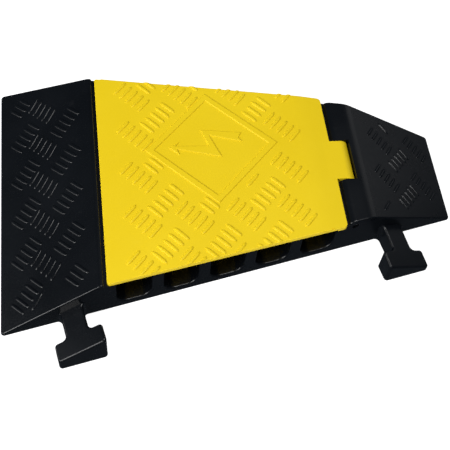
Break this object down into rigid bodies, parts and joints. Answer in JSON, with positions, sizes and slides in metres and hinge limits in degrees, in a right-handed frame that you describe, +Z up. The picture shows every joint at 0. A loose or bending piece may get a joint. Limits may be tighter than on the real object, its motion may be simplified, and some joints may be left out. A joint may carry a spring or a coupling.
{
  "type": "cable protector ramp",
  "caption": "Wedge-shaped turning section of a floor cable protector: rubber ramp base with cable channels, hinged yellow lid, T-lugs on one end and matching sockets in the other.",
  "frame": {"origin": "on the ground, midway between the two toes and midway along their edges, under the middle of the plan without its lugs", "axes": "+X across the ramp from the long edge to the short edge, +Y along the cable channels from the T-lugs to the T-sockets, +Z up"},
  "size_m": [0.5, 0.3508, 0.055],
  "materials": {
    "base_rubber": "satin, fine moulded grain",
    "lid_plastic": "satin yellow, moulded",
    "rod_steel": "drawn bright steel"
  },
  "bodies": {
    "base": {"base_moulding": "base_rubber", "hinge_rod": "rod_steel"},
    "lid": {"lid": "lid_plastic"}
  },
  "joints": [
    {"name": "lid_hinge", "type": "hinge", "parent": "base", "child": "lid", "pos_m": [0.1305, 0, 0.0425], "axis": [0, 1, 0], "range_deg": [0, 90]}
  ]
}
